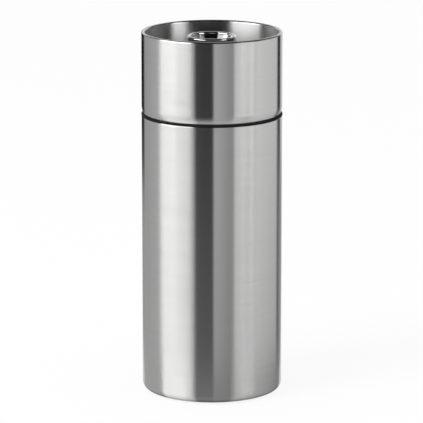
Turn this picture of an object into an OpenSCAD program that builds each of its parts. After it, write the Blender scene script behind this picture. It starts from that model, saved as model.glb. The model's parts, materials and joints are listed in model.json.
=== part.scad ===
// Salt grinder: a steel cylinder whose upper part is a head that turns to grind.
// A knob in the head's finger recess screws onto the spindle and sets how fine it grinds.
// Millimetres, +Z up, origin at the centre of the foot.

/* [Body] */
// Height from the foot to the top of the rim
overall_h = 120; // [110:1:150]
// Outer diameter of the steel body and head
body_d = 46; // [41:0.2:56]
// Wall of the steel body and head
shell_wall = 1.2; // [0.8:0.1:1.5]
// Outer radius of the turned-in corner at the base
base_corner_r = 2.3; // [1.8:0.1:2.6]
// Width of the steel lip turned in at the base
base_lip_w = 3.8; // [3:0.1:4.8]
// How far the grinder housing stands below the steel, as a foot
foot_h = 0.4; // [0.2:0.1:1]
// Outer edge radius at the top of the body
body_edge_r = 0.2; // [0.1:0.05:0.5]
// Inner edge radius at the top of the body
inner_edge_r = 0.15; // [0.05:0.05:0.2]

/* [Head] */
// Height of the head
head_h = 27; // [24:0.05:34]
// Height of the dark seam between body and head
seam_h = 0.6; // [0.45:0.05:1.2]
// How far the seam ring stands out of the steel
seam_proud = 0.1; // [0:0.05:0.4]
// Upper edge radius of the seam ring
seam_edge_r = 0.25; // [0.1:0.05:0.35]
// Radius of the curve that draws the head in at its foot
head_curve_r = 7; // [4:0.1:9]
// Height of that curve
head_curve_h = 2.6; // [1.4:0.1:3.2]
// Outer edge radius of the rim, as a share of the wall
rim_out_share = 0.42; // [0.16:0.02:0.44]
// Inner edge radius of the rim, as a share of the wall
rim_in_share = 0.54; // [0.1:0.02:0.54]
// Depth of the finger recess
recess_depth = 14; // [11:0.5:16]
// Thickness of the recess floor
floor_t = 1.2; // [0.8:0.1:2]

/* [Knob] */
// Diameter over the bead of the knob
knob_d = 16.1; // [14:0.1:20]
// How far the top of the knob lies below the rim
knob_drop = 1.4; // [0.5:0.1:3]
// Diameter of the rolled bead around the top of the knob
knob_bead_d = 1.15; // [0.8:0.05:1.6]
// How far the knob's side and the top of its hollow's wall lie behind the bead
knob_relief = 0.15; // [0.05:0.05:0.3]
// Slope of the wall of the knob's hollow, in degrees from upright
hollow_slope = 18; // [8:1:24]
// Thickness left between the knob's hollow and its threaded insert
knob_web = 1.3; // [0.8:0.1:2]
// Wall of the threaded insert
insert_wall = 1.45; // [1.2:0.05:2]
// Thickness of the cover disc in the knob's hollow
knob_cap_t = 0.6; // [0.4:0.05:0.8]
// Thickness of the washer under the knob
knob_washer_t = 0.5; // [0.3:0.1:0.8]

/* [Spindle] */
// Width across the flats of the square spindle
spindle_w = 6; // [5:0.1:6.6]
// Flat left on each broken corner of the spindle
spindle_break = 0.6; // [0.3:0.1:1]
// Diameter of the adjusting thread
thread_d = 5; // [4:0.1:5.4]
// Pitch of the adjusting thread
thread_pitch = 0.8; // [0.5:0.1:1]
// Turns of the knob from coarse to fine
adjust_turns = 1.5; // [0.5:0.25:1.5]
// Length of thread inside the knob at the coarse setting
thread_grip = 3.6; // [3:0.1:4]

/* [Head drive] */
// Wall of the collar pressed into the mouth of the body
mouth_wall = 3.45; // [2.8:0.05:4.2]
// How far that collar reaches below the seam ring
mouth_skirt = 2; // [1.6:0.1:5]
// Wall of the seam ring's plug
plug_wall = 2.85; // [2.5:0.05:3.6]
// Depth that the seam ring reaches into the mouth
plug_depth = 8; // [6:0.5:9]
// Wall of the head's neck, which turns in the seam ring
neck_wall = 3.4; // [2.6:0.1:4]
// Thickness of the plate under the recess floor
plate_t = 4; // [3.4:0.1:5]
// Height of the studs in the plate that the head's screws go into
stud_h = 2.2; // [1.6:0.1:2.6]
// Wall of those studs
stud_wall = 1.2; // [0.8:0.1:1.4]
// Wall of the boss around the corners of the square drive hole
boss_wall = 2.1; // [1.4:0.1:3]
// Depth of the square drive hole below the plate
boss_depth = 11; // [8:0.5:14]
// Thickness of the ribs between boss and neck
rib_t = 2.4; // [1.6:0.1:3.6]
// Cross-section diameter of the seal ring
seal_d = 1.7; // [1.2:0.1:1.8]
// Thickness of the clip under the seam ring
clip_t = 1; // [0.6:0.1:1.4]
// How far the clip stands out of the neck
clip_reach = 1.2; // [0.8:0.1:1.6]
// Angle left open in the clip
clip_gap_a = 50; // [30:5:90]

/* [Grinder] */
// Height of the fixed grinding ring
stator_h = 12; // [11:0.5:14]
// Wall of the grinding ring at its outlet, up to the tooth tips
stator_wall = 1.9; // [1.6:0.1:2.4]
// Wall of the grinding ring at the top of its feed funnel, up to the tooth tips
funnel_wall = 2.3; // [1.8:0.1:2.8]
// Height of the fine grinding teeth
fine_h = 5.5; // [4:0.25:6]
// Slope of the grinding cone, radius lost per height
cone_slope = 0.36; // [0.3:0.01:0.4]
// Radial gap between the fine teeth at the coarse setting
coarse_gap = 0.65; // [0.55:0.01:0.9]
// Number of fine teeth
fine_teeth = 30; // [18:1:36]
// Depth of the fine teeth
fine_depth = 0.6; // [0.3:0.05:0.8]
// Number of feed teeth in the funnel
feed_teeth = 12; // [8:1:16]
// Depth of the feed teeth
feed_depth = 0.9; // [0.5:0.05:1]
// Number of feed blades on the grinding cone
blade_count = 6; // [4:1:8]
// Depth of the feed blades
blade_depth = 1.3; // [0.6:0.1:1.5]
// Twist of the teeth over their height, in degrees
tooth_twist = 16; // [0:1:24]
// Gap between the grinding cone and the bearing at the fine setting
rotor_gap = 0.6; // [0.3:0.1:1]

/* [Bearing and spring] */
// Height of the screw under the grinding cone above the foot
outlet_clear = 0.65; // [0.4:0.05:1.5]
// Step from the tooth roots at the outlet to the hole in the housing
lip_step = 0.4; // [0.2:0.05:0.6]
// Wall of the housing's rim around the bridge
rim_wall = 1.9; // [1.2:0.1:2.2]
// Height of the housing's rim above the heads of the bridge's screws
rim_spare = 0.6; // [0.3:0.1:2]
// Thickness of the bearing bridge
bridge_t = 3; // [2:0.1:3.2]
// Width of the arms of the bearing bridge
arm_w = 5; // [3.6:0.1:6]
// Number of arms and of the screws at their ends
arm_count = 3; // [3:1:4]
// Height of the bridge's hub
hub_h = 8; // [6:0.5:10]
// Wall of the bridge's hub
hub_wall = 2.5; // [1.6:0.1:3]
// Wall of the bush at the corners of the square spindle
bush_wall = 1.6; // [1.2:0.1:2.2]
// Thickness of the bush's flange
bush_flange_t = 1.2; // [0.8:0.1:1.6]
// How far the bush's flange stands out
bush_flange_w = 1.6; // [1:0.1:2]
// Length of the spring at the coarse setting
spring_h = 6.2; // [5.4:0.1:6.6]
// Diameter of the spring wire
wire_d = 0.8; // [0.5:0.05:0.85]
// Turns of the spring
spring_turns = 4; // [3:0.5:4]
// Wall of the grinding cone's hub at the corners of the square spindle
sleeve_wall = 1; // [0.9:0.1:1.6]
// Thickness of the flange that carries the grinding cone
hub_flange_t = 1.2; // [1:0.1:1.4]
// How far that flange stands out beyond the bore of the grinding cone
hub_flange_w = 2.8; // [2:0.1:3.4]
// Wall of the salt liner
liner_wall = 1.6; // [1:0.1:2]

/* [Fasteners] */
// Shank diameter of the small screws
screw_d = 2; // [1.6:0.1:2.2]
// Head diameter of the small screws
screw_head_d = 3.8; // [3:0.1:4]
// Head height of the small screws
screw_head_h = 1.4; // [1:0.1:1.5]
// Reach of the small screws beyond the piece that they clamp
screw_reach = 6; // [4:0.5:8]
// Wall between the bridge's screws and the grinding ring
screw_land = 1.05; // [0.8:0.05:1.5]
// Gap around the heads of the screws under the head
screw_gap = 0.25; // [0.15:0.05:0.5]
// Shank diameter of the screw under the grinding cone
rotor_screw_d = 3; // [2:0.1:3]
// Head diameter of the screw under the grinding cone
rotor_screw_head_d = 6; // [5:0.1:7]
// Head height of the screw under the grinding cone
rotor_screw_head_h = 1.1; // [0.8:0.05:1.2]
// Thickness of the washer under the grinding cone
rotor_washer_t = 0.5; // [0.3:0.05:0.55]
// Diameter of the washer under the grinding cone
rotor_washer_d = 10; // [8:0.1:12]

/* [Fits] */
// Radial clearance of a turning fit
running = 0.05; // [0.02:0.01:0.08]
// Clearance of pieces that are pressed or dropped into each other
seat = 0.05; // [0.02:0.01:0.1]
// Clearance around the square spindle
slide = 0.1; // [0.05:0.01:0.15]
// Radial clearance around the plug of the seam ring
plug_clearance = 0.2; // [0.1:0.05:0.3]
// Clearance left for a screw to pass through
screw_pass = 0.2; // [0.1:0.05:0.3]

/* [Hidden] */
$fn = 96;
// Overlap that makes a cut pass clean through a face
eps = 0.01;

// Radii shared by the steel and what stands in it
body_r = body_d / 2;
bore_r = body_r - shell_wall;
lining_r = bore_r - seat;
base_hole_r = body_r - base_lip_w;

// Heights from the foot up
base_z = foot_h;
lip_top = base_z + shell_wall;
body_top = overall_h - head_h - seam_h;
head_z = body_top + seam_h;
floor_top = overall_h - recess_depth;
floor_z = floor_top - floor_t;
plate_z = floor_z - plate_t;

// Travel of the spindle from coarse to fine
travel = thread_pitch * adjust_turns;

// Square hole for the spindle and the turned pieces that have it
spindle_hole_w = spindle_w + 2 * slide;
hole_corner_r = spindle_hole_w / sqrt(2);
bush_r = hole_corner_r + bush_wall;
sleeve_r = hole_corner_r + sleeve_wall;
boss_r = hole_corner_r + boss_wall;

// Bridge and its screws, from the steel inwards
screw_r = screw_d / 2;
screw_head_r = screw_head_d / 2;
screw_hole_r = screw_r + seat;
bridge_r = lining_r - rim_wall - seat;
screw_ring_r = bridge_r - screw_head_r - seat;
bridge_ring_w = 2 * (screw_head_r + seat) + seat;
hub_bore_r = bush_r + running;
hub_r = hub_bore_r + hub_wall;

// Grinder
lip_t = outlet_clear + rotor_screw_head_h + rotor_washer_t + hub_flange_t - seat;
stator_r = screw_ring_r - screw_hole_r - screw_land - seat;
stator_z = lip_t + seat;
stator_top = stator_z + stator_h;
outlet_r = stator_r - stator_wall;
lip_r = outlet_r + fine_depth + lip_step;
throat_r = outlet_r - cone_slope * fine_h;
funnel_r = stator_r - funnel_wall;
slices = 6;

// Housing and bearing bridge, from the grinder up
ledge_z = stator_top + seat;
bridge_top = ledge_z + bridge_t;
housing_top = bridge_top + screw_head_h + rim_spare;
hub_top = ledge_z + hub_h;
bush_flange_top = ledge_z - seat;
bush_z = bush_flange_top - bush_flange_t;
bush_flange_r = bush_r + bush_flange_w;

// Grinding cone
rotor_r = outlet_r - coarse_gap;
rotor_root_r = rotor_r - fine_depth;
rotor_waist_r = rotor_root_r - cone_slope * fine_h;
rotor_bore_r = sleeve_r + seat;
rotor_z = stator_z;
rotor_top = bush_z - travel - rotor_gap;

// Spindle and what turns on it
spring_top = bush_z;
spring_z = spring_top - spring_h;
hub_seat_z = rotor_z - hub_flange_t;
rotor_washer_z = hub_seat_z - rotor_washer_t;
spindle_z = hub_seat_z + seat;
spindle_top = floor_z - travel - seat;
thread_r = thread_d / 2;
thread_top = floor_top + knob_washer_t + thread_grip;
rotor_screw_l = 3 * rotor_screw_d;

// Spring, wound between the inside of the grinding cone and the spindle
spring_out_r = rotor_bore_r - wire_d / 2;
coil_r = spring_out_r - wire_d / 2;
coil_low = spring_z + wire_d / 2;
coil_high = spring_top - wire_d / 2;
coil_sides = 6;
coil_rings = 12;
coil_count = ceil(spring_turns * coil_rings);

// Mouth of the body and the seam ring
mouth_r = lining_r - mouth_wall;
plug_r = mouth_r - plug_clearance;
plug_z = body_top - plug_depth;
mouth_z = plug_z - mouth_skirt;
neck_r = plug_r - plug_wall - running;
flange_r = body_r + seam_proud;
flange_top = head_z - seat;
seal_r = mouth_r - seat - seal_d / 2;
seal_z = body_top - plug_depth / 2;
groove_w = seal_d + 4 * seat;
groove_r = seal_r - seal_d / 2 - seat;
clip_top = plug_z - seat;
clip_z = clip_top - clip_t;
clip_bed_r = neck_r - clip_reach;
clip_r = neck_r + clip_reach;
neck_z = clip_z - clip_reach;

// Head
boss_z = plate_z - boss_depth;
core_r = bore_r - 4 * seat;
core_screw_ring_r = neck_r + screw_gap + screw_head_r;
head_hole_r = core_screw_ring_r + screw_head_r + screw_gap;
stud_r = screw_hole_r + stud_wall;
pocket_z = floor_z - stud_h - seat;

// Knob
knob_r = knob_d / 2;
bead_r = knob_bead_d / 2;
knob_z = floor_top + knob_washer_t + seat;
knob_top = overall_h - knob_drop;
bead_z = knob_top - bead_r;
insert_bore_r = thread_r + running;
insert_r = insert_bore_r + insert_wall;
insert_top = thread_top + travel + 4 * seat;
hollow_z = insert_top + knob_web;
hollow_top_r = knob_r - knob_bead_d + knob_relief;
hollow_foot_r = hollow_top_r - (bead_z - hollow_z) * tan(hollow_slope);
cap_r = hollow_foot_r - seat;
cap_z = hollow_z + seat;

// Least distance between turns of the spring, measured on the points of its centre line
function coil_point(i) = let (share = i / coil_count, a = 360 * spring_turns * share)
    [coil_r * cos(a), coil_r * sin(a), coil_low + (coil_high - coil_low) * share];
coil_points = [for (i = [0:coil_count]) coil_point(i)];
coil_gap = min([
    for (i = [0:coil_count])
        for (j = [i + coil_rings / 2:1:coil_count])
            norm(coil_points[i] - coil_points[j])
]) - wire_d;
echo(least_gap_of_spring = coil_gap);

// Waste outside a rounded corner whose faces meet at [x, z]; the signs point into the material
module corner_waste(x, z, r, sx, sz) {
    translate([x, z])
        scale([sx, sz])
            difference() {
                translate([-eps, -eps]) square(r + eps);
                translate([r, r]) circle(r);
            }
}

// Waste outside a curve of radius r that draws the steel in over the height h at its foot
module foot_waste(z, r, h) {
    difference() {
        translate([body_r - r, z - eps]) square([r + eps, h + eps]);
        translate([body_r - r, z + h]) circle(r);
    }
}

// Section of a steel cup: an upright wall with a turned-in lip and a curve at its foot
module cup_section(z0, z1, hole_r, curve_r, curve_h, edge_r, bore_edge_r) {
    inner_r = max(curve_h - shell_wall, eps);
    difference() {
        translate([hole_r, z0]) square([body_r - hole_r, z1 - z0]);
        foot_waste(z0, curve_r, curve_h);
        corner_waste(body_r, z1, edge_r, -1, -1);
        corner_waste(bore_r, z1, bore_edge_r, 1, -1);
        difference() {
            translate([0, z0 + shell_wall]) square([bore_r, z1 - z0]);
            corner_waste(bore_r, z0 + shell_wall, inner_r, -1, 1);
        }
    }
}

// Tube between two radii and two heights
module tube(r_out, r_in, z0, z1) {
    translate([0, 0, z0])
        difference() {
            cylinder(h = z1 - z0, r = r_out);
            translate([0, 0, -eps]) cylinder(h = z1 - z0 + 2 * eps, r = r_in);
        }
}

// Cylinder between two heights
module rod(r, z0, z1) {
    translate([0, 0, z0]) cylinder(h = z1 - z0, r = r);
}

// Square bar between two heights
module bar(w, z0, z1) {
    translate([-w / 2, -w / 2, z0]) cube([w, w, z1 - z0]);
}

// Copies of its children at equal angles on a circle
module around(count, r) {
    for (i = [0:count - 1]) rotate(i * 360 / count) translate([r, 0, 0]) children();
}

// Pan-head screw with a cross recess, its head standing on the plane at height z, shank downwards
module screw(z, shank_r, shank_l, head_r, head_h) {
    recess_w = head_r * 0.36;
    recess_l = head_r * 1.25;
    recess_z = z + head_h * 0.45;
    difference() {
        union() {
            rod(shank_r, z - shank_l, z + eps);
            rod(head_r, z, z + head_h);
        }
        for (turn = [0, 90])
            rotate(turn)
                translate([-recess_l / 2, -recess_w / 2, recess_z]) cube([recess_l, recess_w, head_h]);
    }
}

// Outline of a toothed ring
function toothed(count, tip_r, root_r) = [
    for (i = [0:2 * count - 1])
        let (a = 180 * i / count, r = i % 2 == 0 ? tip_r : root_r) [r * cos(a), r * sin(a)]
];

// Toothed cone between two heights; the tooth depth shrinks with the radius
module toothed_cone(count, r0, depth, r1, z0, z1, twist) {
    translate([0, 0, z0])
        linear_extrude(height = z1 - z0, scale = r1 / r0, twist = twist, slices = slices)
            polygon(toothed(count, r0, r0 + depth));
}

module body_shell() {
    color("#b9bbbe")
        rotate_extrude()
            cup_section(
                base_z, body_top, base_hole_r, base_corner_r, base_corner_r,
                body_edge_r, inner_edge_r
            );
}

module head_shell() {
    color("#b9bbbe")
        rotate_extrude()
            cup_section(
                head_z, overall_h, head_hole_r, head_curve_r, head_curve_h,
                rim_out_share * shell_wall, rim_in_share * shell_wall
            );
}

module grinder_housing() {
    foot_r = base_hole_r - 4 * seat;
    bevel = max(base_corner_r - shell_wall, 0) + seat;
    color("#1d1d1f")
        difference() {
            rotate_extrude()
                difference() {
                    union() {
                        translate([lip_r, 0]) square([foot_r - lip_r, lip_top + eps]);
                        polygon([
                            [lip_r, lip_top], [lining_r - bevel, lip_top], [lining_r, lip_top + bevel],
                            [lining_r, housing_top], [lip_r, housing_top]
                        ]);
                    }
                    corner_waste(foot_r, 0, foot_h, -1, 1);
                    translate([0, lip_t]) square([stator_r + seat, housing_top]);
                    translate([0, ledge_z]) square([bridge_r + seat, housing_top]);
                }
            around(arm_count, screw_ring_r)
                rod(screw_hole_r, ledge_z - screw_reach - seat, ledge_z + eps);
        }
}

module stator() {
    color("#efece4")
        difference() {
            rod(stator_r, stator_z, stator_top);
            toothed_cone(fine_teeth, outlet_r + eps * cone_slope, fine_depth, throat_r,
                stator_z - eps, stator_z + fine_h, tooth_twist);
            toothed_cone(feed_teeth, throat_r, feed_depth * throat_r / funnel_r, funnel_r + eps,
                stator_z + fine_h - eps, stator_top + eps, -tooth_twist);
        }
}

module bearing_bridge() {
    ring_in_r = bridge_r - bridge_ring_w;
    arm_end = (ring_in_r + screw_ring_r - screw_r - screw_pass) / 2;
    color("#2a2a2c")
        difference() {
            union() {
                translate([0, 0, ledge_z])
                    linear_extrude(bridge_t)
                        difference() {
                            union() {
                                difference() {
                                    circle(bridge_r);
                                    circle(ring_in_r);
                                }
                                for (i = [0:arm_count - 1])
                                    rotate(i * 360 / arm_count)
                                        translate([0, -arm_w / 2]) square([arm_end, arm_w]);
                            }
                            around(arm_count, screw_ring_r) circle(screw_r + screw_pass);
                        }
                rod(hub_r, ledge_z, hub_top);
            }
            rod(hub_bore_r, ledge_z - eps, hub_top + eps);
        }
}

module bridge_screws() {
    color("#c9cacc")
        around(arm_count, screw_ring_r)
            screw(bridge_top, screw_r, bridge_t + screw_reach, screw_head_r, screw_head_h);
}

module salt_liner() {
    color("#dcdedd") tube(lining_r, lining_r - liner_wall, housing_top, mouth_z);
}

module mouth_collar() {
    lead_in = plug_clearance * 3;
    color("#1d1d1f")
        rotate_extrude()
            polygon([
                [mouth_r, mouth_z], [lining_r, mouth_z], [lining_r, body_top],
                [mouth_r + lead_in, body_top], [mouth_r, body_top - lead_in]
            ]);
}

module spindle_bush() {
    color("#b08d57")
        difference() {
            union() {
                rod(bush_r, bush_z, hub_top + seat);
                rod(bush_flange_r, bush_z, bush_flange_top);
            }
            bar(spindle_hole_w, bush_z - eps, hub_top + seat + eps);
        }
}

module rotor_spring() {
    rise = (coil_high - coil_low) / spring_turns;
    function wire_point(i, j) =
        let (
            a = 360 * spring_turns * i / coil_count,
            out = [cos(a), sin(a), 0],
            along = [-sin(a) * 2 * PI * coil_r, cos(a) * 2 * PI * coil_r, rise],
            across = cross(along, out) / norm(along),
            b = 360 * j / coil_sides
        )
        coil_points[i] + wire_d / 2 * (cos(b) * out + sin(b) * across);
    points = [for (i = [0:coil_count]) for (j = [0:coil_sides - 1]) wire_point(i, j)];
    sides = [
        for (i = [0:coil_count - 1])
            for (j = [0:coil_sides - 1])
                let (
                    p = i * coil_sides + j,
                    q = i * coil_sides + (j + 1) % coil_sides
                )
                each [[p, q, p + coil_sides], [q, q + coil_sides, p + coil_sides]]
    ];
    last = coil_count * coil_sides;
    caps = [
        for (j = [1:coil_sides - 2])
            each [[0, j + 1, j], [last, last + j, last + j + 1]]
    ];
    color("#a9abad") polyhedron(points = points, faces = concat(sides, caps));
}

module spindle() {
    break_w = spindle_w * sqrt(2) - spindle_break;
    lead = thread_r * 0.3;
    color("#c4c6c8")
        difference() {
            union() {
                intersection() {
                    bar(spindle_w, spindle_z, spindle_top);
                    rotate(45) bar(break_w, spindle_z - eps, spindle_top + eps);
                }
                rod(thread_r, spindle_top - eps, thread_top - lead);
                translate([0, 0, thread_top - lead])
                    cylinder(h = lead, r1 = thread_r, r2 = thread_r - lead);
            }
            rod(rotor_screw_d / 2 + seat, spindle_z - eps, spindle_z + rotor_screw_l + seat);
        }
}

module rotor() {
    fine_top = rotor_z + fine_h;
    valley_r = rotor_waist_r - blade_depth;
    color("#efece4")
        difference() {
            union() {
                toothed_cone(fine_teeth, rotor_root_r, fine_depth, rotor_waist_r,
                    rotor_z, fine_top, tooth_twist);
                toothed_cone(blade_count, valley_r, blade_depth, valley_r,
                    fine_top - eps, rotor_top, 2 * tooth_twist);
            }
            rod(rotor_bore_r, rotor_z - eps, rotor_top + eps);
        }
}

module rotor_hub() {
    color("#e6e6e2")
        difference() {
            union() {
                rod(sleeve_r, hub_seat_z, spring_z);
                rod(rotor_bore_r + hub_flange_w, hub_seat_z, rotor_z);
            }
            bar(spindle_hole_w, hub_seat_z - eps, spring_z + eps);
        }
}

module rotor_washer() {
    color("#c9cacc")
        tube(rotor_washer_d / 2, rotor_screw_d / 2 + screw_pass, rotor_washer_z, hub_seat_z);
}

module rotor_screw() {
    color("#c9cacc")
        translate([0, 0, rotor_washer_z])
            mirror([0, 0, 1])
                screw(0, rotor_screw_d / 2, rotor_screw_l, rotor_screw_head_d / 2, rotor_screw_head_h);
}

module glide_ring() {
    bore = neck_r + running;
    color("#141415")
        rotate_extrude()
            difference() {
                union() {
                    translate([bore, body_top]) square([flange_r - bore, flange_top - body_top]);
                    translate([bore, plug_z]) square([plug_r - bore, plug_depth + eps]);
                }
                corner_waste(flange_r, flange_top, seam_edge_r, -1, -1);
                translate([groove_r, seal_z - groove_w / 2]) square([plug_r, groove_w]);
            }
}

module seal_ring() {
    color("#0f0f10") rotate_extrude() translate([seal_r, seal_z]) circle(seal_d / 2);
}

module recess_floor() {
    color("#1d1d1f")
        difference() {
            union() {
                rod(lining_r, floor_z, floor_top);
                around(arm_count, core_screw_ring_r) rod(stud_r, floor_z - stud_h, floor_z + eps);
            }
            rod(thread_r + screw_pass, floor_z - eps, floor_top + eps);
            around(arm_count, core_screw_ring_r)
                rod(screw_hole_r, floor_z - stud_h - eps, floor_z);
        }
}

module drive_core() {
    color("#1d1d1f")
        difference() {
            union() {
                rod(core_r, plate_z, floor_z);
                tube(neck_r, neck_r - neck_wall, neck_z, floor_z);
                rod(boss_r, boss_z, floor_z);
                for (turn = [0, 90])
                    rotate(turn)
                        translate([-neck_r + neck_wall / 2, -rib_t / 2, boss_z])
                            cube([2 * neck_r - neck_wall, rib_t, floor_z - boss_z]);
            }
            bar(spindle_hole_w, boss_z - eps, floor_z + eps);
            tube(neck_r + eps, clip_bed_r, clip_z - seat, clip_top + seat);
            around(arm_count, core_screw_ring_r) {
                rod(stud_r + screw_pass, pocket_z, floor_z + eps);
                rod(screw_r + screw_pass, plate_z - eps, floor_z);
            }
        }
}

module core_screws() {
    color("#c9cacc")
        around(arm_count, core_screw_ring_r)
            translate([0, 0, plate_z])
                mirror([0, 0, 1])
                    screw(0, screw_r, plate_t - seat, screw_head_r, screw_head_h);
}

module collar_clip() {
    reach = clip_r * 2;
    half_gap = clip_gap_a / 2;
    color("#8d8f92")
        difference() {
            tube(clip_r, clip_bed_r + seat, clip_z, clip_top);
            translate([0, 0, clip_z - eps])
                linear_extrude(clip_t + 2 * eps)
                    polygon([
                        [0, 0], [reach, -reach * tan(half_gap)], [reach, reach * tan(half_gap)]
                    ]);
        }
}

module knob() {
    foot_edge = bead_r;
    side_r = knob_r - knob_relief;
    color("#d3d4d6")
        rotate_extrude()
            difference() {
                union() {
                    difference() {
                        translate([0, knob_z]) square([side_r, bead_z - knob_z]);
                        polygon([
                            [-eps, hollow_z],
                            [hollow_foot_r, hollow_z],
                            [hollow_top_r, bead_z],
                            [hollow_top_r, knob_top],
                            [-eps, knob_top]
                        ]);
                    }
                    translate([knob_r - bead_r, bead_z]) circle(bead_r);
                }
                corner_waste(side_r, knob_z, foot_edge, -1, 1);
                translate([-eps, knob_z - eps]) square([insert_r + seat + eps, insert_top - knob_z + eps]);
            }
}

module knob_cap() {
    color("#1d1d1f") rod(cap_r, cap_z, cap_z + knob_cap_t);
}

module knob_insert() {
    color("#b08d57") tube(insert_r, insert_bore_r, knob_z, insert_top - seat);
}

module knob_washer() {
    color("#3a3a3c") tube(knob_r - 2 * bead_r, thread_r + screw_pass, floor_top, knob_z - seat);
}

body_shell();
grinder_housing();
stator();
bearing_bridge();
bridge_screws();
salt_liner();
mouth_collar();
spindle_bush();
rotor_spring();
spindle();
rotor();
rotor_hub();
rotor_washer();
rotor_screw();
glide_ring();
seal_ring();
head_shell();
recess_floor();
drive_core();
core_screws();
collar_clip();
knob();
knob_cap();
knob_insert();
knob_washer();
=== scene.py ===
"""Looks of the salt grinder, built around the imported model. Metres, +Z up, camera on the -Y side."""

import json
import math

import bmesh
import bpy
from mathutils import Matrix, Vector


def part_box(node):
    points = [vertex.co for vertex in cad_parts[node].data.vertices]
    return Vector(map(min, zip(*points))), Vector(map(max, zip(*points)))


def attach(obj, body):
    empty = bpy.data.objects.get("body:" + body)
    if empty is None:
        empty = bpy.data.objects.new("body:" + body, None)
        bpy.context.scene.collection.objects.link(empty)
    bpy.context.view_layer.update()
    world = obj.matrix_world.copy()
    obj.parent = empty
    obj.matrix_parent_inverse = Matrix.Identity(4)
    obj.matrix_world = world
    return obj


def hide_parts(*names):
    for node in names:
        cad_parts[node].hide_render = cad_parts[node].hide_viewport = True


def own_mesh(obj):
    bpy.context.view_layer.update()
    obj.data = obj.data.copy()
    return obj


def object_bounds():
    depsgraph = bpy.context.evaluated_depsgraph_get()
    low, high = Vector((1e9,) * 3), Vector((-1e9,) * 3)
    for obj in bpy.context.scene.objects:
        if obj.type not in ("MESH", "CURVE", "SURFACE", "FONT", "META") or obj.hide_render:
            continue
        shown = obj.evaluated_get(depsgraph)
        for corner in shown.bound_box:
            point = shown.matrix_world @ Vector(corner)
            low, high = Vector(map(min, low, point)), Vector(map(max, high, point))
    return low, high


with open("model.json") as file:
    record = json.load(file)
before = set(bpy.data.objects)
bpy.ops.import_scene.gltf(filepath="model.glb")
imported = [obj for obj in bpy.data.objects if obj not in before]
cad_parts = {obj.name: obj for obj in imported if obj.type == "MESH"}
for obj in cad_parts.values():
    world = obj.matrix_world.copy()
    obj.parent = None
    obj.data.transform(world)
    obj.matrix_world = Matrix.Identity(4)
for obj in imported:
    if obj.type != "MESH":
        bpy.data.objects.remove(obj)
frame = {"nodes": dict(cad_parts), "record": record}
cad_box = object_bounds()

MM = 0.001
CENTRE = (cad_box[0] + cad_box[1]) / 2
WALL_RADIUS = cad_box[1].x

# Camera, fitted to the outlines in the photograph
FRAME_PX = 423
FOCAL_PX = 3383.3
SENSOR_MM = 36.0
CAMERA_DISTANCE = 1114.2 * MM
CAMERA_ELEVATION = math.radians(12.45)
CAMERA_DROP = 0.26 * MM
CAMERA_SIDE = -0.15 * MM
CAMERA_REACH = 100.0

# Studio: panels of light around the grinder, which show only in reflections. Each has a first and a last
# bearing in degrees and its level at both. Bearing 0 points at the camera and 90 to the camera's right.
# The panels stand in four tiers: below, low, high and top. The upright wall mirrors mostly the low tier.
LOW_PANELS = [
    (-180, -149, 0.00, 0.00),
    (-145, -101, 0.35, 0.51),
    (-91, -63, 0.96, 0.94),
    (-60, -30, 0.76, 0.40),
    (-27, 1.5, 0.02, 0.00),
    (3.5, 35.5, 0.55, 0.30),
    (38, 62, 0.76, 0.47),
    (68, 74, 0.66, 0.66),
    (79, 84, 0.80, 0.80),
    (90, 132, 0.76, 0.65),
    (138, 147, 0.00, 0.00),
    (153, 180, 0.60, 0.75),
]
HIGH_PANELS = [
    (-180, -150, 0.75, 0.75),
    (-140, -112, 0.10, 0.15),
    (-107, -96, 0.25, 0.25),
    (-88, -36, 7.60, 7.60),
    (-32, 40, 0.00, 0.00),
    (52, 70, 5.90, 5.90),
    (75, 81, 0.10, 0.10),
    (86, 114, 0.25, 0.25),
    (122, 140, 0.00, 0.00),
    (150, 180, 0.75, 0.75),
]
TOP_PANELS = [
    (-180, -150, 0.75, 0.75),
    (-140, -96, 0.02, 0.02),
    (-86, -36, 0.66, 0.66),
    (-32, 40, 0.00, 0.00),
    (52, 80, 0.13, 0.13),
    (90, 140, 0.02, 0.02),
    (150, 180, 0.75, 0.75),
]
BELOW_PANELS = [
    (-180, -100, 0.65, 0.65),
    (-90, -38, 1.15, 1.05),
    (-26, 180, 0.72, 0.65),
]

# Where a tier starts to show and where it shows alone, as the z of a direction of length 1. The dark overhead
# comes lower on the camera's side.
HIGH_FROM = (-0.02, 0.16)
TOP_FROM = (0.24, 0.34)
BELOW_FROM = (-0.38, -0.68)
OVERHEAD_FROM = (0.55, 0.80)
OVERHEAD_TILT = 0.2
OVERHEAD_LEVEL = 0.01
AMBIENT_LEVEL = 0.75

# Lamp
LAMP_PLACE = Vector((-0.9, -0.7, 1.3))
LAMP_SIZE = 0.8
LAMP_POWER = 12

# Floor: the painted reflection it glows with in the metal, by the bearing in which the wall mirrors it
FLOOR_PANELS = [
    (-180, -174, 0.75, 0.75),
    (-168, -96, 0.45, 0.45),
    (-88, -52, 1.04, 1.04),
    (-41, -33, 0.83, 0.66),
    (-26, 1, 0.22, 0.22),
    (4, 30, 0.27, 0.25),
    (40, 60, 0.52, 0.55),
    (74, 84, 0.49, 0.43),
    (98, 134, 0.39, 0.29),
    (139, 164, 0.26, 0.30),
    (174, 180, 0.75, 0.75),
]
FLOOR_RADIUS = 3.0
FLOOR_SIDES = 96
FLOOR_WHITE = 0.95
FLOOR_SHADOW_SHARE = 0.12
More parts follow.
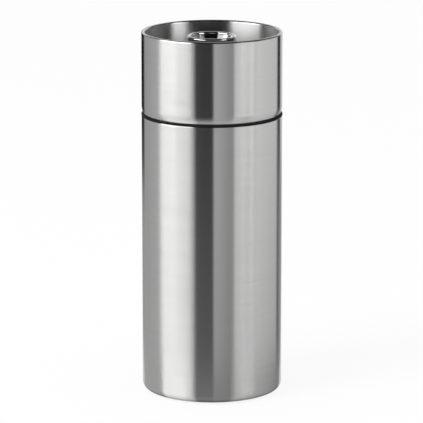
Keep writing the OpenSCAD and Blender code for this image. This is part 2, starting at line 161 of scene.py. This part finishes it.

# How much of the floor's painted reflection shows in the metal: around the grinder, in a patch behind it and
# close to the foot
NEAR_SHARE = 0.58
NEAR_REACH = 500 * MM
PATCH_SHARE = 0.80
PATCH_CENTRE = (60 * MM, 0, 0)
PATCH_REACH = 375 * MM
PATCH_EDGE = 0.1
PATCH_WIDTH = 0.9 * WALL_RADIUS
PATCH_ANGLES = (0.85, 0.65)
CONTACT_SHARE = 0.9
CONTACT_REACH = 100 * MM
CONTACT_CORE = 0.3 * CONTACT_REACH

# Painted shadow in the floor's glow under the edge of the foot, which the base's rounded corner mirrors as a
# dark line
PAINTED_SHADE_LEVEL = 0.40
PAINTED_SHADE_FROM = 0.92 * WALL_RADIUS
PAINTED_SHADE_TO = 1.06 * WALL_RADIUS

# Finishes: how far tone and roughness follow the noise, and the second, broader set of lathe lines
NOISE_DETAIL = 2.0
PORE_DETAIL = 3.0
CLOUD_SCALE = 0.06
TONE_RANGE = (0.3, 0.7)
CLOUD_RANGE = (0.35, 0.65)
LINE_RANGE = (0.25, 0.75)
PORE_RANGE = (0.3, 0.7)
METAL_VARIATION = 0.08
MOULD_VARIATION = 0.15
BROAD_LENGTH = 2
BROAD_PITCH = 6
QUARTER_TURN = 0.25

# Inner side of the shells, which is brushed more coarsely than the outside
INSIDE_RADIUS = 21.95 * MM
INSIDE_EDGE = 0.2 * MM
INSIDE_ROUGHER = 1.8

# Nodes whose finish differs from the rest of their slot. The glide ring is matt black in its own colour; the
# recess floor and the knob's cap are matt black as painted shade, which darkens the recess and the knob's
# hollow where the steel mirrors them.
NODE_FINISHES_AND_SHADE = {"glide_ring": "matt_black", "knob_cap": "matt_black", "recess_floor": "matt_black"}

# Spindle: its square end, the hole for the screw below and the adjusting thread above
SPINDLE_BREAK = 0.6 * MM
SPINDLE_EDGE = 0.4 * MM
SIDE_POINTS = 13
HOLE_RADIUS = 1.55 * MM
HOLE_DEPTH = 9.05 * MM
STUD_LENGTH = 6.55 * MM
THREAD_RADIUS = 2.5 * MM
THREAD_PITCH = 0.8 * MM
THREAD_DEPTH = 0.45 * MM
THREAD_RELIEF = 0.6 * MM
THREAD_LEAD = 0.75 * MM
THREAD_STEEPNESS = 1.25
RINGS_PER_PITCH = 12

# Spring
WIRE_RADIUS = 0.4 * MM
SPRING_TURNS = 4
WIRE_SIDES = 12
RINGS_PER_TURN = 40


class Graph:
    """Builds a node tree from nothing. Values that are sockets are linked, all others are set."""

    def __init__(self, tree):
        self.tree = tree
        tree.nodes.clear()

    def feed(self, socket, value):
        if isinstance(value, bpy.types.NodeSocket):
            self.tree.links.new(value, socket)
        else:
            socket.default_value = value

    def add(self, kind, inputs=None, **settings):
        node = self.tree.nodes.new("ShaderNode" + kind)
        for name, value in settings.items():
            setattr(node, name, value)
        for name, value in (inputs or {}).items():
            self.feed(node.inputs[name], value)
        return node

    def math(self, operation, a, b=0.0):
        return self.add("Math", {0: a, 1: b}, operation=operation).outputs[0]

    def rest(self, share):
        return self.math("SUBTRACT", 1.0, share)

    def ramp(self, value, low, high, to_low=0.0, to_high=1.0):
        inputs = {"Value": value, "From Min": low, "From Max": high, "To Min": to_low, "To Max": to_high}
        return self.add("MapRange", inputs, interpolation_type="SMOOTHSTEP").outputs[0]

    def vary(self, value, span, middle, variation):
        """A value around a middle one, which it leaves by a share of it at either end of the span."""
        low, high = span
        return self.ramp(value, low, high, (1 - variation) * middle, (1 + variation) * middle)

    def mix(self, share, a, b):
        return self.add("Mix", {0: share, 6: a, 7: b}, data_type="RGBA").outputs[2]

    def mix_shader(self, share, a, b):
        return self.add("MixShader", {0: share, 1: a, 2: b}).outputs[0]

    def split(self, vector):
        return self.add("SeparateXYZ", {0: vector}).outputs

    def join(self, x, y, z):
        return self.add("CombineXYZ", {0: x, 1: y, 2: z}).outputs[0]

    def noise(self, vector, scale=1.0, detail=NOISE_DETAIL):
        return self.add("TexNoise", {"Vector": vector, "Scale": scale, "Detail": detail}).outputs[0]

    def bump(self, height, depth):
        return self.add("Bump", {"Height": height, "Distance": depth, "Strength": 1.0}).outputs[0]

    def glow(self, colour, strength=1.0):
        return self.add("Emission", {"Color": colour, "Strength": strength}).outputs[0]

    def object_position(self):
        return self.add("TexCoord").outputs["Object"]


def grey(level):
    return (level, level, level, 1.0)


def new_material(name):
    material = bpy.data.materials.new(name)
    material.use_nodes = True
    return material, Graph(material.node_tree)


def finish_material(graph, inputs):
    """Adds the shader and the output."""
    shader = graph.add("BsdfPrincipled", inputs)
    graph.add("OutputMaterial", {"Surface": shader.outputs[0]})


def axis_distance(graph, position):
    x, y, _ = graph.split(position)
    squares = graph.math("ADD", graph.math("MULTIPLY", x, x), graph.math("MULTIPLY", y, y))
    return graph.math("SQRT", squares)


def lathe_lines(graph, position, length, pitch):
    """Noise drawn out into lines round the Z axis: length along a line and pitch from line to line."""
    x, y, z = graph.split(position)
    along_profile = graph.math("ADD", z, axis_distance(graph, position))
    vector = graph.join(
        graph.math("MULTIPLY", x, 1.0 / length),
        graph.math("MULTIPLY", y, 1.0 / length),
        graph.math("MULTIPLY", along_profile, 1.0 / pitch),
    )
    return graph.noise(vector)


def turned_metal(name, dark, light, roughness, anisotropy, line_length, line_pitch, line_depth, inside=None):
    """Metal worked on a lathe or brushed while it spins: fine lines round the axis stretch its reflections.

    Within a radius it can be rougher: inside is that radius and how many times as rough it is there.
    """
    material, graph = new_material(name)
    position = graph.object_position()
    fine = lathe_lines(graph, position, line_length, line_pitch)
    broad = lathe_lines(graph, position, BROAD_LENGTH * line_length, BROAD_PITCH * line_pitch)
    lines = graph.math("MULTIPLY", graph.math("ADD", fine, broad), 0.5)
    spread = graph.vary(lines, LINE_RANGE, roughness, METAL_VARIATION)
    if inside:
        radius, times = inside
        rougher = graph.ramp(axis_distance(graph, position), radius, radius - INSIDE_EDGE, 1.0, times)
        spread = graph.math("MULTIPLY", spread, rougher)
    finish_material(
        graph,
        {
            "Base Color": graph.mix(graph.ramp(lines, *TONE_RANGE), dark, light),
            "Metallic": 1.0,
            "Roughness": spread,
            "Anisotropic": anisotropy,
            "Anisotropic Rotation": QUARTER_TURN,
            "Tangent": graph.add("Tangent", direction_type="RADIAL", axis="Z").outputs[0],
            "Normal": graph.bump(lines, line_depth),
        },
    )
    return material


def moulded(name, dark, light, roughness, grain, grain_depth, shine=0.5):
    """Moulded or fired material with a fine grain."""
    material, graph = new_material(name)
    position = graph.object_position()
    pores = graph.noise(position, 1.0 / grain, PORE_DETAIL)
    clouds = graph.noise(position, CLOUD_SCALE / grain)
    finish_material(
        graph,
        {
            "Base Color": graph.mix(graph.ramp(clouds, *CLOUD_RANGE), dark, light),
            "Roughness": graph.vary(pores, PORE_RANGE, roughness, MOULD_VARIATION),
            "Specular IOR Level": shine,
            "Normal": graph.bump(pores, grain_depth),
        },
    )
    return material


def make_materials():
    """One material for each slot of the record, and the matt black that some nodes take, as their finish or
    as painted shade.
    """
    return {
        "brushed_steel": turned_metal(
            "brushed_steel",
            dark=(0.68, 0.68, 0.675, 1),
            light=(0.71, 0.71, 0.705, 1),
            roughness=0.19,
            anisotropy=0.9,
            line_length=12 * MM,
            line_pitch=0.10 * MM,
            line_depth=0.00015 * MM,
            inside=(INSIDE_RADIUS, INSIDE_ROUGHER),
        ),
        "polished_steel": turned_metal(
            "polished_steel",
            dark=grey(0.76),
            light=grey(0.80),
            roughness=0.10,
            anisotropy=0.8,
            line_length=20 * MM,
            line_pitch=0.3 * MM,
            line_depth=0.0001 * MM,
        ),
        "plain_steel": turned_metal(
            "plain_steel",
            dark=(0.52, 0.52, 0.53, 1),
            light=(0.64, 0.64, 0.65, 1),
            roughness=0.3,
            anisotropy=0.5,
            line_length=6 * MM,
            line_pitch=0.15 * MM,
            line_depth=0.002 * MM,
        ),
        "brass": turned_metal(
            "brass",
            dark=(0.66, 0.46, 0.20, 1),
            light=(0.76, 0.56, 0.28, 1),
            roughness=0.28,
            anisotropy=0.5,
            line_length=6 * MM,
            line_pitch=0.15 * MM,
            line_depth=0.002 * MM,
        ),
        "black_plastic": moulded(
            "black_plastic",
            dark=grey(0.008),
            light=grey(0.014),
            roughness=0.5,
            grain=0.25 * MM,
            grain_depth=0.006 * MM,
            shine=0.2,
        ),
        # Matt black: the glide ring's own colour, and painted shade on the recess floor and the knob's cap
        "matt_black": moulded(
            "matt_black",
            dark=grey(0.014),
            light=grey(0.018),
            roughness=0.6,
            grain=0.25 * MM,
            grain_depth=0.004 * MM,
            shine=0.05,
        ),
        "liner_plastic": moulded(
            "liner_plastic",
            dark=(0.74, 0.75, 0.74, 1),
            light=(0.80, 0.81, 0.80, 1),
            roughness=0.42,
            grain=0.4 * MM,
            grain_depth=0.004 * MM,
        ),
        "ceramic": moulded(
            "ceramic",
            dark=(0.80, 0.77, 0.71, 1),
            light=(0.88, 0.86, 0.81, 1),
            roughness=0.5,
            grain=0.2 * MM,
            grain_depth=0.01 * MM,
        ),
        "rubber": moulded(
            "rubber",
            dark=grey(0.012),
            light=grey(0.018),
            roughness=0.65,
            grain=0.15 * MM,
            grain_depth=0.004 * MM,
        ),
    }


def bearing_of(graph, x, y):
    """Bearing of a point or direction in radians, 0 towards the camera."""
    return graph.math("ARCTAN2", x, graph.math("MULTIPLY", y, -1.0))


def panel_ramp(graph, bearing, panels):
    """Level of the panels at a bearing."""
    turn = graph.math("ADD", graph.math("DIVIDE", bearing, 2 * math.pi), 0.5)
    ramp = graph.add("ValToRGB", {"Fac": turn})
    stops = ramp.color_ramp.elements
    ends = [end for first, last, a, b in panels for end in ((first, a), (last, b))]
    while len(stops) < len(ends):
        stops.new(1.0)
    for stop, (degrees, level) in zip(stops, ends):
        stop.position = degrees / 360 + 0.5
        stop.color = grey(level)
    return ramp.outputs[0]


def studio_world():
    """White to the camera, panels of light and dark to reflections, and an even light on everything else."""
    world = bpy.data.worlds.new("studio")
    bpy.context.scene.world = world
    world.use_nodes = True
    graph = Graph(world.node_tree)
    x, y, z = graph.split(graph.add("TexCoord").outputs["Generated"])
    bearing = bearing_of(graph, x, y)
    low, high, top, below = [
        panel_ramp(graph, bearing, panels) for panels in (LOW_PANELS, HIGH_PANELS, TOP_PANELS, BELOW_PANELS)
    ]
    tilted = graph.math("SUBTRACT", z, graph.math("MULTIPLY", y, OVERHEAD_TILT))
    studio = graph.mix(graph.ramp(z, *HIGH_FROM), low, high)
    studio = graph.mix(graph.ramp(z, *TOP_FROM), studio, top)
    studio = graph.mix(graph.ramp(tilted, *OVERHEAD_FROM), studio, grey(OVERHEAD_LEVEL))
    studio = graph.mix(graph.ramp(z, *BELOW_FROM), studio, below)
    path = graph.add("LightPath").outputs
    lit = graph.mix(path["Is Glossy Ray"], grey(AMBIENT_LEVEL), studio)
    seen = graph.math("MAXIMUM", path["Is Camera Ray"], path["Is Transmission Ray"])
    background = graph.add("Background", {"Color": graph.mix(seen, lit, grey(1.0)), "Strength": 1.0})
    graph.add("OutputWorld", {"Surface": background.outputs[0]})


def floor_patch(graph, position):
    """Patch of the floor behind the grinder where its painted reflection shows most: a strip that widens to
    the back, within a circle.
    """
    x, y, _ = graph.split(position)
    beside = graph.math("MAXIMUM", graph.math("SUBTRACT", graph.math("ABSOLUTE", x), PATCH_WIDTH), 0.0)
    behind = graph.ramp(graph.math("ARCTAN2", beside, y), *PATCH_ANGLES)
    off_centre = graph.add("VectorMath", {0: position, 1: PATCH_CENTRE}, operation="DISTANCE")
    edge = ((1 + PATCH_EDGE) * PATCH_REACH, (1 - PATCH_EDGE) * PATCH_REACH)
    return graph.math("MULTIPLY", behind, graph.ramp(off_centre.outputs["Value"], *edge))


def floor_share(graph, position, reach):
    """How much of the floor's painted reflection shows in the metal."""
    patch = graph.math("MULTIPLY", floor_patch(graph, position), PATCH_SHARE)
    near = graph.math("MULTIPLY", graph.rest(graph.math("DIVIDE", reach, NEAR_REACH)), NEAR_SHARE)
    contact = graph.ramp(reach, CONTACT_REACH, CONTACT_CORE, 0.0, CONTACT_SHARE)
    shown = graph.math("MAXIMUM", patch, near)
    return graph.rest(graph.math("MULTIPLY", graph.rest(shown), graph.rest(contact)))


def painted_floor_reflection(graph, position, reach):
    """The floor as the metal shows it: a glowing painted reflection, darker under the edge of the foot. The
    wall mirrors a point at more than the point's own bearing.
    """
    x, y, _ = graph.split(position)
    widened = graph.math("DIVIDE", reach, graph.math("SUBTRACT", reach, WALL_RADIUS / 2))
    bearing = graph.math("MULTIPLY", bearing_of(graph, x, y), widened)
    # painted shadow: the floor's reflection glow is dimmed under the edge of the foot
    shade = graph.ramp(reach, PAINTED_SHADE_FROM, PAINTED_SHADE_TO, PAINTED_SHADE_LEVEL, 1.0)
    return graph.glow(panel_ramp(graph, bearing, FLOOR_PANELS), shade)


def floor_material():
    """White to the camera but for a faint shadow; to reflections partly clear and partly a glow of painted
    reflection; open from below.
    """
    material, graph = new_material("floor_white")
    position = graph.object_position()
    reach = graph.add("VectorMath", {0: position}, operation="LENGTH").outputs["Value"]
    shaded = graph.add("BsdfDiffuse", {"Color": grey(FLOOR_WHITE)}).outputs[0]
    clear = graph.add("BsdfTransparent").outputs[0]
    plain = graph.mix_shader(FLOOR_SHADOW_SHARE, graph.glow(grey(1.0)), shaded)
    share = floor_share(graph, position, reach)
    mirrored = graph.mix_shader(share, clear, painted_floor_reflection(graph, position, reach))
    glossy = graph.add("LightPath").outputs["Is Glossy Ray"]
    surface = graph.mix_shader(glossy, plain, mirrored)
    underside = graph.add("NewGeometry").outputs["Backfacing"]
    graph.add("OutputMaterial", {"Surface": graph.mix_shader(underside, surface, clear)})
    return material


def make_floor():
    mesh = bpy.data.meshes.new("floor")
    shape = bmesh.new()
    bmesh.ops.create_circle(shape, cap_ends=True, segments=FLOOR_SIDES, radius=FLOOR_RADIUS)
    shape.to_mesh(mesh)
    shape.free()
    floor = bpy.data.objects.new("floor", mesh)
    bpy.context.collection.objects.link(floor)
    mesh.materials.append(floor_material())
    floor.visible_diffuse = False
    floor.visible_shadow = False


def add_facing(thing, place, target):
    """Adds an object to the scene at a place, turned to face a target."""
    thing.location = place
    thing.rotation_euler = (target - place).to_track_quat("-Z", "Y").to_euler()
    bpy.context.collection.objects.link(thing)


def make_lamp():
    """Soft lamp that shades matt surfaces and the floor. Metal takes its light from the panels."""
    light = bpy.data.lights.new("key_lamp", "AREA")
    light.shape = "DISK"
    light.size = LAMP_SIZE
    light.energy = LAMP_POWER
    lamp = bpy.data.objects.new("key_lamp", light)
    lamp.visible_glossy = False
    add_facing(lamp, LAMP_PLACE, CENTRE)


def make_camera():
    back = Vector((0, -math.cos(CAMERA_ELEVATION), math.sin(CAMERA_ELEVATION)))
    data = bpy.data.cameras.new("camera")
    data.sensor_width = SENSOR_MM
    data.lens = FOCAL_PX * SENSOR_MM / FRAME_PX
    data.clip_end = CAMERA_REACH
    camera = bpy.data.objects.new("camera", data)
    aim = CENTRE + Vector((CAMERA_SIDE, 0, -CAMERA_DROP))
    add_facing(camera, aim + back * CAMERA_DISTANCE, aim)
    bpy.context.scene.camera = camera


def new_piece(name, shape, material, body):
    """Turns a bmesh into an object that rides on a body."""
    mesh = bpy.data.meshes.new(name)
    shape.to_mesh(mesh)
    shape.free()
    mesh.materials.append(material)
    piece = bpy.data.objects.new(name, mesh)
    bpy.context.collection.objects.link(piece)
    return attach(piece, body)


def skin(rings):
    """Closed shape through rings that have the same number of points."""
    shape = bmesh.new()
    loops = [[shape.verts.new(point) for point in ring] for ring in rings]
    for lower, upper in zip(loops, loops[1:]):
        for j in range(len(lower)):
            shape.faces.new((lower[j - 1], lower[j], upper[j], upper[j - 1]))
    shape.faces.new(loops[0])
    shape.faces.new(loops[-1])
    bmesh.ops.recalc_face_normals(shape, faces=shape.faces)
    return shape


def thread_radius(height, angle):
    """Radius of the stud over its shoulder: a relief, then the thread with flat crests, then the lead."""
    if height < THREAD_RELIEF:
        return THREAD_RADIUS - THREAD_DEPTH
    turn = (height / THREAD_PITCH - angle / (2 * math.pi)) % 1
    flank = THREAD_STEEPNESS * abs(2 * turn - 1) - (THREAD_STEEPNESS - 1) / 2
    groove = min(max(flank, 0), 1)
    lead = max(height - STUD_LENGTH + THREAD_LEAD, 0)
    return THREAD_RADIUS - max(THREAD_DEPTH * groove, lead)


def make_spindle(material):
    """Square bar with broken corners, a screw hole in its lower end and the adjusting thread above."""
    low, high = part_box("spindle")
    shoulder = high.z - STUD_LENGTH
    corner = math.atan2(high.x - SPINDLE_BREAK / math.sqrt(2), high.x)
    side = [corner * (2 * i / (SIDE_POINTS - 1) - 1) for i in range(SIDE_POINTS)]
    angles = [quarter * math.pi / 2 + angle for quarter in range(4) for angle in side]
    outline = [high.x / math.cos(angle) for angle in side] * 4
    inset = [radius - SPINDLE_EDGE for radius in outline]
    hole = [HOLE_RADIUS] * len(angles)

    def ring(radii, z):
        return [(r * math.cos(angle), r * math.sin(angle), z) for r, angle in zip(radii, angles)]

    rings = [
        ring(hole, low.z + HOLE_DEPTH),
        ring(hole, low.z),
        ring(inset, low.z),
        ring(outline, low.z + SPINDLE_EDGE),
        ring(outline, shoulder - SPINDLE_EDGE),
        ring(inset, shoulder),
    ]
    count = round(STUD_LENGTH / THREAD_PITCH * RINGS_PER_PITCH)
    for i in range(count + 1):
        height = STUD_LENGTH * i / count
        rings.append(ring([thread_radius(height, angle) for angle in angles], shoulder + height))
    shape = skin(rings)
    for face in shape.faces:
        face.smooth = len(face.verts) == 4 and face.calc_center_median().z > shoulder
    spindle = new_piece("threaded_spindle", shape, material, "spindle")
    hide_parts("spindle")


def make_spring(material):
    """Round wire wound between the hub and the bush."""
    low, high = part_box("rotor_spring")
    coil_radius = high.x - WIRE_RADIUS
    first = low.z + WIRE_RADIUS
    last = high.z - WIRE_RADIUS
    rings = []
    count = SPRING_TURNS * RINGS_PER_TURN
    for i in range(count + 1):
        angle = 2 * math.pi * i / RINGS_PER_TURN
        out = Vector((math.cos(angle), math.sin(angle), 0))
        centre = out * coil_radius + Vector((0, 0, first + (last - first) * i / count))
        ring = []
        for j in range(WIRE_SIDES):
            turn = 2 * math.pi * j / WIRE_SIDES
            offset = out * math.cos(turn) + Vector((0, 0, math.sin(turn)))
            ring.append(centre + offset * WIRE_RADIUS)
        rings.append(ring)
    shape = skin(rings)
    for face in shape.faces:
        face.smooth = len(face.verts) == 4
    spring = new_piece("coil_spring", shape, material, "bush")
    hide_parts("rotor_spring")
    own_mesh(spring)


def dress_nodes(materials):
    """Gives every CAD node its own finish or painted shade, or else the material of its slot."""
    for row in frame["record"]["subparts"]:
        mesh = frame["nodes"][row["node"]].data
        mesh.materials.clear()
        mesh.materials.append(materials[NODE_FINISHES_AND_SHADE.get(row["node"], row["material_slot"])])


materials = make_materials()
studio_world()
make_floor()
make_lamp()
make_camera()
dress_nodes(materials)
make_spindle(materials["plain_steel"])
make_spring(materials["plain_steel"])

bpy.context.scene.view_settings.view_transform = "Standard"
